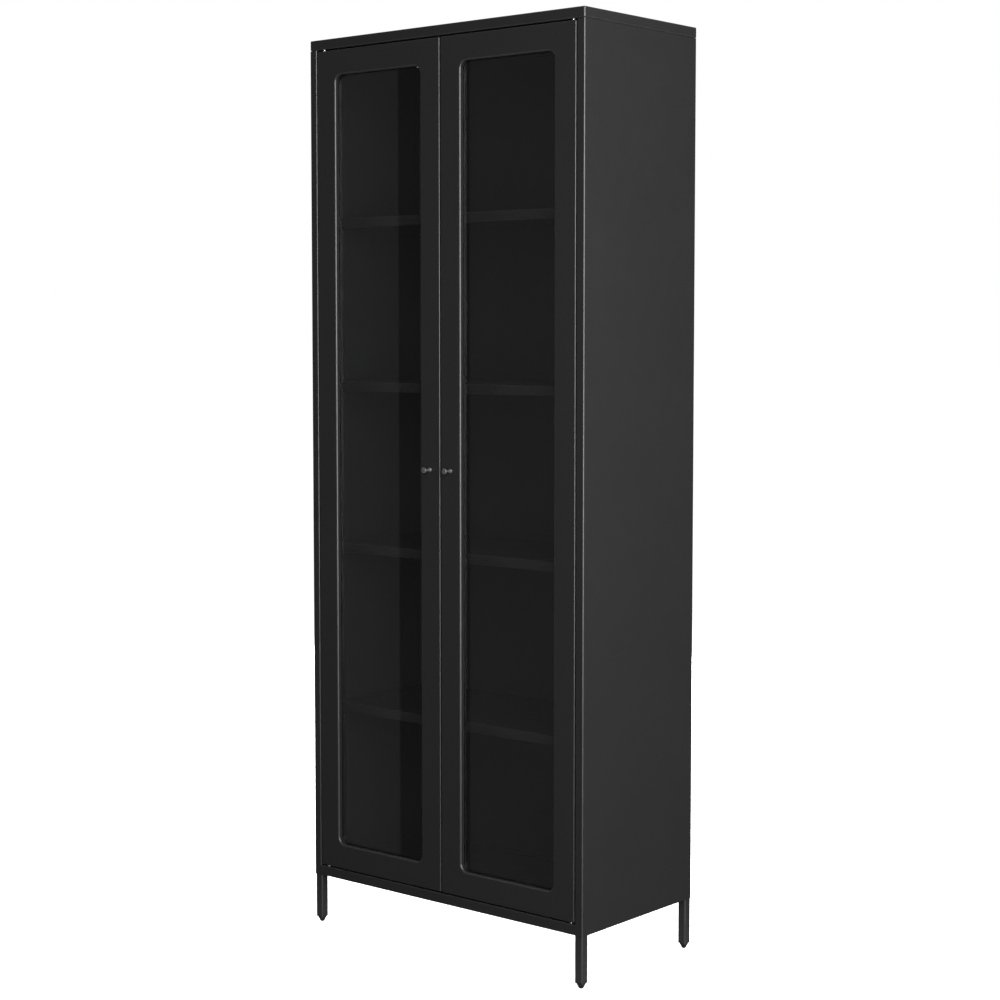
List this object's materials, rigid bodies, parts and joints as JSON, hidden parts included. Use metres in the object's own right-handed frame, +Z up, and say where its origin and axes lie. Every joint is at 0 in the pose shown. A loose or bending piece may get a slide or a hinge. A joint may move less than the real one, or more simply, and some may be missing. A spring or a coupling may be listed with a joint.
{
  "type": "tower display case",
  "caption": "Tall black steel display case on four square legs, with two hinged glazed doors, fixed cap and lift-out shelves.",
  "frame": {"origin": "on the floor at the middle of the footprint, knobs included (the case itself stands 10 mm behind it)", "axes": "+Z up, -Y out of the front where the doors and knobs are, +X towards the right-hand door"},
  "size_m": [0.7, 0.37, 1.8],
  "materials": {
    "powder_coat": "black fine-texture powder coat, semi-matt",
    "clear_glass": "clear tempered, polished edges",
    "knob_black": "black, satin gloss",
    "black_plastic": "moulded, matt",
    "rubber_seal": "matt foam strip",
    "zinc_steel": "bright zinc plated"
  },
  "bodies": {
    "case": {"top_panel": "powder_coat", "bottom_panel": "powder_coat", "back_panel": "powder_coat", "shelf_1": "powder_coat", "shelf_2": "powder_coat", "shelf_3": "powder_coat", "shelf_4": "powder_coat", "side_panel_left": "powder_coat", "side_panel_right": "powder_coat", "shelf_clip_1_front_left": "powder_coat", "shelf_clip_1_back_left": "powder_coat", "shelf_clip_2_front_left": "powder_coat", "shelf_clip_2_back_left": "powder_coat", "shelf_clip_3_front_left": "powder_coat", "shelf_clip_3_back_left": "powder_coat", "shelf_clip_4_front_left": "powder_coat", "shelf_clip_4_back_left": "powder_coat", "leg_front_left": "powder_coat", "leg_plug_front_left": "black_plastic", "leg_back_left": "powder_coat", "leg_plug_back_left": "black_plastic", "pivot_pin_upper_left": "zinc_steel", "pivot_pin_lower_left": "zinc_steel", "magnetic_catch_left": "black_plastic", "shelf_clip_1_front_right": "powder_coat", "shelf_clip_1_back_right": "powder_coat", "shelf_clip_2_front_right": "powder_coat", "shelf_clip_2_back_right": "powder_coat", "shelf_clip_3_front_right": "powder_coat", "shelf_clip_3_back_right": "powder_coat", "shelf_clip_4_front_right": "powder_coat", "shelf_clip_4_back_right": "powder_coat", "leg_front_right": "powder_coat", "leg_plug_front_right": "black_plastic", "leg_back_right": "powder_coat", "leg_plug_back_right": "black_plastic", "pivot_pin_upper_right": "zinc_steel", "pivot_pin_lower_right": "zinc_steel", "magnetic_catch_right": "black_plastic"},
    "left_door": {"door_frame_left": "powder_coat", "door_gasket_left": "rubber_seal", "door_glass_left": "clear_glass", "glass_retainer_left": "powder_coat", "door_knob_left": "knob_black", "knob_screw_left": "zinc_steel", "pivot_bush_upper_left": "black_plastic", "pivot_bush_lower_left": "black_plastic"},
    "right_door": {"door_frame_right": "powder_coat", "door_gasket_right": "rubber_seal", "door_glass_right": "clear_glass", "glass_retainer_right": "powder_coat", "door_knob_right": "knob_black", "knob_screw_right": "zinc_steel", "pivot_bush_upper_right": "black_plastic", "pivot_bush_lower_right": "black_plastic"},
    "foot_front_left": {"levelling_foot_front_left": "black_plastic"},
    "foot_front_right": {"levelling_foot_front_right": "black_plastic"},
    "foot_back_left": {"levelling_foot_back_left": "black_plastic"},
    "foot_back_right": {"levelling_foot_back_right": "black_plastic"}
  },
  "joints": [
    {"name": "left_door_hinge", "type": "hinge", "parent": "case", "child": "left_door", "pos_m": [-0.31775, -0.1565, 0.95], "axis": [0, 0, -1], "range_deg": [0, 110]},
    {"name": "right_door_hinge", "type": "hinge", "parent": "case", "child": "right_door", "pos_m": [0.31775, -0.1565, 0.95], "axis": [0, 0, 1], "range_deg": [0, 110]},
    {"name": "foot_front_left_thread", "type": "slide", "parent": "case", "child": "foot_front_left", "axis": [0, 0, -1], "range_m": [0, 0.012]},
    {"name": "foot_front_right_thread", "type": "slide", "parent": "case", "child": "foot_front_right", "axis": [0, 0, -1], "range_m": [0, 0.012]},
    {"name": "foot_back_left_thread", "type": "slide", "parent": "case", "child": "foot_back_left", "axis": [0, 0, -1], "range_m": [0, 0.012]},
    {"name": "foot_back_right_thread", "type": "slide", "parent": "case", "child": "foot_back_right", "axis": [0, 0, -1], "range_m": [0, 0.012]}
  ]
}
